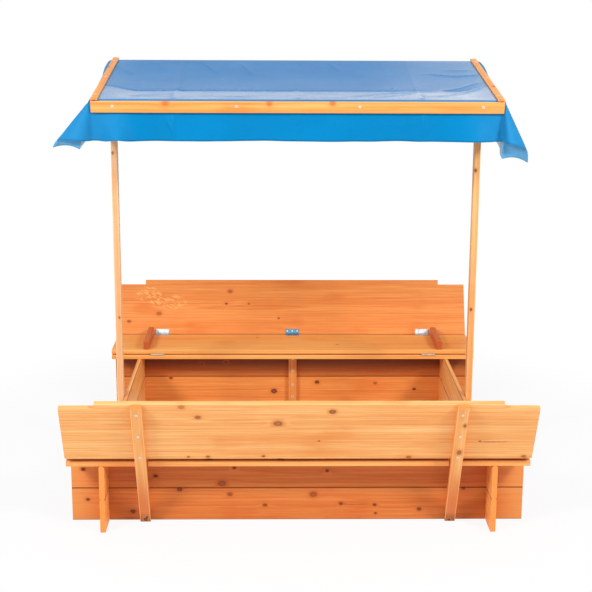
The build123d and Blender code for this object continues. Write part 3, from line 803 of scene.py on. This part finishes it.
def sag_of(t, canopy, settings):
    """How far the roof hangs between its cross rails: least at the rails, most along the front fold."""
    inner = canopy.deep - RAIL_SEAT
    if t < FOLD_LINE:
        share = (t + inner) / (FOLD_LINE + inner)
    else:
        share = (inner - t) / (inner - FOLD_LINE)
    return settings.sag * (1 - (1 - min(1.0, max(0.0, share))) ** 1.25)


def on_end_flap(s, side, end, past_end, canopy):
    """A place on the front or rear flap, which waves and flares towards its ears."""
    free = max(0.0, past_end - canopy.clamped)
    corner = canopy.wide - abs(s)
    flare = (0.032 if side < 0 else 0.010) * math.exp(-(((corner - 0.070) / 0.034) ** 2))
    wave = 0.010 * noise.noise(Vector((s * 5.5 + 3, end * 7, 0)))
    wave += 0.004 * noise.noise(Vector((s * 17, end * 3, 5)))
    lean = (flare + wave + 0.004) / END_SPAN * eased(corner, 0, 0.04)
    deep = end * (canopy.deep + free * math.sin(lean))
    return Vector((s, deep, canopy.high - past_end + free * (1 - math.cos(lean))))


def on_side_flap(t, side, end, past_side, out, down, canopy):
    """A place on the left or right flap, which swings out with its ears."""
    wave = 0.008 * noise.noise(Vector((t * 6, side * 5, 2)))
    corner = canopy.deep - abs(t)
    lean = (wave + 0.006) / SIDE_SPAN * eased(corner, 0, 0.12)
    lean += math.radians(EARS[side, end][3]) * (1 - eased(corner, 0, 0.22))
    wide = side * (canopy.wide + out + past_side * math.sin(lean))
    return Vector((wide, t, canopy.high - down + past_side * (1 - math.cos(lean))))


def hanging(s, t, canopy, settings):
    """Where a point of the flat sheet lies: on the roof, down a flap or out on a corner ear."""
    past_side, past_end = max(0.0, abs(s) - canopy.wide), max(0.0, abs(t) - canopy.deep)
    side, end = math.copysign(1, s), math.copysign(1, t)
    if past_side == 0 and past_end == 0:
        middle = min(1.0, (canopy.wide - STRIP_SEAT - abs(s)) / SAG_SHOULDER)
        return Vector((s, t, canopy.high - sag_of(t, canopy, settings) * eased(middle, 0, 1)))
    if past_side == 0:
        return on_end_flap(s, side, end, past_end, canopy)
    rear = eased(t, -0.02, 0.26)
    out, down = bent(past_side, 0.004 + 0.016 * rear)
    if past_end == 0:
        return on_side_flap(t, side, end, past_side, out, down, canopy)
    reach = math.hypot(past_side, past_end)
    share = math.atan2(past_end, past_side) / (math.pi / 2)
    away = ear_direction(share, *(math.radians(turn) for turn in EARS[side, end])) * reach
    blend = (1 - share) ** 2
    return Vector((
        side * (canopy.wide + away.x + out * blend),
        end * (canopy.deep + away.y),
        canopy.high + away.z + (reach - down) * blend,
    ))


def relief_of(s, t):
    """Height of the creases and of a few soft wrinkles above the sheet's own surface."""
    height = 0.0006 * noise.noise(Vector((s * 9, t * 16, 1)))
    for start_s, start_t, end_s, end_t, rise in CREASES:
        run_s, run_t = end_s - start_s, end_t - start_t
        span = math.hypot(run_s, run_t)
        along = ((s - start_s) * run_s + (t - start_t) * run_t) / span
        beside = ((s - start_s) * run_t - (t - start_t) * run_s) / span
        fade = eased(along, -CREASE_LEAD, CREASE_RISE)
        fade *= eased(along, span + CREASE_LEAD, span - CREASE_FALL)
        height += CREASE_GAIN * rise * fade * math.exp(-abs(beside) / CREASE_WIDTH)
    return height


def stations(inner, before, after, spacing):
    """Places across the sheet: the middle and the two margins, each divided evenly."""
    middle = np.linspace(-inner, inner, round(2 * inner / spacing) + 1)
    first = np.linspace(-inner - before, -inner, round(before / spacing) + 1)
    last = np.linspace(inner, inner + after, round(after / spacing) + 1)
    return np.concatenate((first[:-1], middle, last[1:]))


def hung_grid(across, down, canopy, settings):
    """The sheet as a grid hung on the frame, and the place of each vertex on the flat sheet."""
    shape = bmesh.new()
    layer = shape.loops.layers.uv.new("sheet")
    bmesh.ops.create_grid(shape, x_segments=len(across) - 1, y_segments=len(down) - 1, size=1)
    flats = {}
    for vert in shape.verts:
        column = round((vert.co.x + 1) / 2 * (len(across) - 1))
        row = round((vert.co.y + 1) / 2 * (len(down) - 1))
        flats[vert] = (across[column], down[row])
        vert.co = hanging(*flats[vert], canopy, settings)
    for face in shape.faces:
        for loop in face.loops:
            loop[layer].uv = flats[loop.vert]
    return shape, flats


def crease(shape, flats, canopy):
    """Raises the creases, but not where strips and fascias press the sheet flat."""
    shape.normal_update()
    raised = {}
    for vert, (s, t) in flats.items():
        held = eased(abs(s), canopy.wide - STRIP_FADE, canopy.wide - STRIP_SEAT)
        held *= eased(abs(s), canopy.wide + 0.02, canopy.wide)
        tight = eased(abs(t), canopy.deep - RAIL_SEAT, canopy.deep - RAIL_PRESS)
        tight *= eased(abs(t), canopy.deep + canopy.clamped + 0.01, canopy.deep + canopy.clamped)
        raised[vert] = vert.normal * relief_of(s, t) * (1 - max(held, tight))
    for vert, shift in raised.items():
        vert.co += shift


def mark_roof(shape, flats, canopy):
    """Gives the second material to the faces that lie on the roof."""
    wide, deep = canopy.wide + ROOF_MARGIN, canopy.deep + ROOF_MARGIN
    for face in shape.faces:
        places = [flats[vert] for vert in face.verts]
        on_roof = all(abs(s) < wide and abs(t) < deep for s, t in places)
        face.material_index = 1 if on_roof else 0


class SANDBOX_OT_hang_sheet(bpy.types.Operator):
    """Stretches the sheet over the roof, with hanging flaps and a folded ear at each corner"""

    bl_idname = "sandbox.hang_sheet"
    bl_label = "Hang Sheet"

    def execute(self, context):
        settings = context.scene.sandbox_sheet
        canopy = Canopy()
        across = stations(canopy.wide, settings.left_hang, settings.right_hang, settings.spacing)
        down = stations(canopy.deep, settings.end_hang, settings.end_hang, settings.spacing)
        shape, flats = hung_grid(across, down, canopy, settings)
        crease(shape, flats, canopy)
        mark_roof(shape, flats, canopy)
        bmesh.ops.transform(shape, matrix=canopy.place, verts=shape.verts)
        outside = tarpaulin(
            "hanging_tarpaulin", settings.upper, settings, specular=0.05, coat=0.0, relief=0.0022
        )
        roof = tarpaulin("roof_tarpaulin", settings.roof, settings, specular=0.5, coat=1.0, relief=0.0022)
        lining = tarpaulin(
            "tarpaulin_lining", settings.under, settings, specular=0.15, coat=0.0, relief=0.0005
        )
        sheet = piece("canopy_sheet", shape, "roof", outside)
        for material in (roof, lining, lining):
            sheet.data.materials.append(material)
        sheet.data.shade_smooth()
        thick = sheet.modifiers.new("Thickness", "SOLIDIFY")
        thick.thickness = settings.thickness
        thick.offset = 0
        # The two outer materials are followed by the lining twice, so that it faces both of them
        thick.material_offset = 2
        thick.material_offset_rim = 2
        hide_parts("tarpaulin")
        return {"FINISHED"}


def crease_lines(s, t, wobble):
    """The creases as fine ridges, for relief too small for the mesh."""
    total = 0
    for start_s, start_t, end_s, end_t, rise in CREASES:
        run_s, run_t = end_s - start_s, end_t - start_t
        span = math.hypot(run_s, run_t)
        along = (s - start_s) * (run_s / span) + (t - start_t) * (run_t / span)
        beside = abs((s - start_s) * (run_t / span) - (t - start_t) * (run_s / span) + wobble)
        line = beside.ramp(RIDGE_WIDTH, 0) * along.ramp(-CREASE_LEAD, CREASE_RISE)
        line = line * along.ramp(span + CREASE_LEAD, span - CREASE_FALL)
        total = total + line * (rise / WHOLE_CREASE)
    return total


def tarpaulin(name, face, settings, specular, coat, relief):
    """Coated woven sheet: a fine square weave with packing creases. Its coat shows where it is worn."""
    graph = Graph(bpy.data.materials.new(name))
    flat = graph.add("ShaderNodeTexCoord", {}, {})["UV"]
    s, t, _ = graph.split(flat)
    pitch = 2 * math.pi / WEAVE_PITCH
    weave = (s * pitch).apply("SINE") * (t * pitch).apply("SINE")
    cloud = graph.noise(flat, 7.0, 3.0)
    fine = graph.noise(flat, 45.0, 3.0)
    crumple = graph.noise(graph.scaled(flat, (9, 22, 1)), 1.0, 4.0, 0.6)
    wobble = (fine - 0.5) * 0.004
    lines = crease_lines(s, t, wobble)
    upper, lower = tuple(face), tuple(settings.under)
    fold = abs(t - FOLD_LINE + wobble * 0.5)
    shade = graph.layered(upper, [
        (cloud.ramp(0.35, 0.7) * 0.5, tinted(upper, 0.88)),
        (weave.ramp(-0.2, 1.0) * 0.3, tinted(upper, 1.12)),
        (abs(lines).ramp(0.2, 1.0) * 0.10, lower),
        # Painted sheen: the sheet lighter towards its left and right edges and over the ears
        (abs(s).ramp(0.42, 0.60) * 0.14, lower),
        # Painted shade along the lengthwise fold
        (fold.ramp(0.004, 0.001) * 0.45, tinted(upper, 0.5)),
    ])
    worn = t.ramp(-0.06, -0.15) * 0.76 + s.ramp(0.15, 0.50) * 0.50
    shine = worn * (0.65 + crumple * 0.7) * coat
    gloss = 0.20 + t.ramp(-0.10, 0.16) * 0.16 + cloud * 0.10 + fine * 0.05
    height = weave * 0.05 + fine * 0.12 + crumple * 0.6 + lines
    return graph.finish(
        height, relief, Base_Color=shade, Roughness=gloss, Specular_IOR_Level=specular,
        Coat_Weight=shine, Coat_Roughness=0.12,
    )


# ---------------------------------------------------------------- stage
FLOOR_SIZE = 30
LAMP_PLACES = {"left_lamp": (-2.4, -2.7, 2.6), "right_lamp": (2.4, -2.7, 2.6)}
LAMP_WIDTH = 0.8
LAMP_AIM = (0, 0, 0.4)
SENSOR_WIDTH = 36  # millimetres


class SANDBOX_OT_set_stage(bpy.types.Operator):
    """Lays the floor, hangs the lamps and places the camera"""

    bl_idname = "sandbox.set_stage"
    bl_label = "Set Stage"

    def execute(self, context):
        settings = context.scene.sandbox_stage
        floor(settings)
        lamps(settings)
        backdrop(context.scene, settings)
        place_camera(context.scene, settings)
        context.scene.view_settings.view_transform = "Standard"
        return {"FINISHED"}


def unlit(graph):
    """1 for the rays that see a surface straight, in a gloss or through glass, and 0 for the light's own."""
    rays = graph.add("ShaderNodeLightPath", {}, {})
    seen = rays["Is Camera Ray"]
    for kind in ("Is Glossy Ray", "Is Transmission Ray"):
        seen = seen.apply("MAXIMUM", rays[kind])
    return seen


def floor(settings):
    """White paper that keeps a trace of the shadow near the object and fades to white further off."""
    shape = bmesh.new()
    bmesh.ops.create_grid(shape, x_segments=1, y_segments=1, size=FLOOR_SIZE)
    mesh = bpy.data.meshes.new("floor")
    shape.to_mesh(mesh)
    shape.free()
    graph = Graph(bpy.data.materials.new("paper"))
    x, y, _ = graph.split(graph.add("ShaderNodeTexCoord", {}, {})["Object"])
    away = x * x + y * y
    share = 0.88 + 0.12 * away.ramp(0.6, 2.2)
    matt = graph.add("ShaderNodeBsdfDiffuse", {}, {"Color": (*settings.paper, 1)})["BSDF"]
    white = graph.add("ShaderNodeEmission", {}, {"Color": (1, 1, 1, 1), "Strength": 1.0})["Emission"]
    both = graph.add("ShaderNodeMixShader", {}, {0: unlit(graph) * share, 1: matt, 2: white})[0]
    graph.add("ShaderNodeOutputMaterial", {}, {"Surface": both})
    mesh.materials.append(graph.holder)
    obj = bpy.data.objects.new("floor", mesh)
    bpy.context.scene.collection.objects.link(obj)


def lamps(settings):
    """Two soft lamps high in front, one on each side."""
    for name, place in LAMP_PLACES.items():
        light = bpy.data.lights.new(name, "AREA")
        light.shape = "DISK"
        light.size = LAMP_WIDTH
        light.energy = settings.lamp_power
        lamp = bpy.data.objects.new(name, light)
        lamp.location = place
        lamp.rotation_euler = (Vector(LAMP_AIM) - Vector(place)).to_track_quat("-Z", "Y").to_euler()
        bpy.context.scene.collection.objects.link(lamp)


def backdrop(scene, settings):
    """Even light from the room, which is white where it is seen."""
    graph = Graph(bpy.data.worlds.new("studio"))
    levels = [
        graph.add("ShaderNodeBackground", {}, {"Color": (1, 1, 1, 1), "Strength": level})["Background"]
        for level in (settings.ambient, 1.0)
    ]
    both = graph.add("ShaderNodeMixShader", {}, {0: unlit(graph), 1: levels[0], 2: levels[1]})[0]
    graph.add("ShaderNodeOutputWorld", {}, {"Surface": both})
    scene.world = graph.holder


def place_camera(scene, settings):
    lens = bpy.data.cameras.new("camera")
    lens.lens = settings.lens
    lens.sensor_width = SENSOR_WIDTH
    camera = bpy.data.objects.new("camera", lens)
    turn = Matrix.Rotation(-settings.camera_right, 4, "Z")
    turn = turn @ Matrix.Rotation(math.pi / 2 - settings.camera_down, 4, "X")
    turn = turn @ Matrix.Rotation(settings.camera_roll, 4, "Z")
    camera.matrix_world = Matrix.Translation(settings.camera_place) @ turn
    scene.collection.objects.link(camera)
    scene.camera = camera


# ---------------------------------------------------------------- add-on
class SANDBOX_PT_looks(bpy.types.Panel):
    """The steps that dress the sandbox, in order"""

    bl_idname = "SANDBOX_PT_looks"
    bl_label = "Sandbox"
    bl_space_type = "VIEW_3D"
    bl_region_type = "UI"
    bl_category = "Sandbox"

    def draw(self, context):
        for operator in OPERATORS:
            self.layout.operator(operator.bl_idname)


GROUPS = {
    "sandbox_timber": TimberSettings,
    "sandbox_metal": MetalSettings,
    "sandbox_sheet": SheetSettings,
    "sandbox_stage": StageSettings,
}
OPERATORS = [
    SANDBOX_OT_finish_timber,
    SANDBOX_OT_finish_metal,
    SANDBOX_OT_seat_screws,
    SANDBOX_OT_hang_sheet,
    SANDBOX_OT_set_stage,
]


def register():
    for group in GROUPS.values():
        bpy.utils.register_class(group)
    for name, group in GROUPS.items():
        setattr(bpy.types.Scene, name, PointerProperty(type=group))
    for operator in OPERATORS:
        bpy.utils.register_class(operator)
    bpy.utils.register_class(SANDBOX_PT_looks)


def unregister():
    bpy.utils.unregister_class(SANDBOX_PT_looks)
    for operator in reversed(OPERATORS):
        bpy.utils.unregister_class(operator)
    for name in GROUPS:
        delattr(bpy.types.Scene, name)
    for group in reversed(GROUPS.values()):
        bpy.utils.unregister_class(group)


def main():
    register()
    bpy.ops.sandbox.finish_timber()
    bpy.ops.sandbox.finish_metal()
    bpy.ops.sandbox.seat_screws()
    bpy.ops.sandbox.hang_sheet()
    bpy.ops.sandbox.set_stage()


if __name__ == "__main__":
    main()
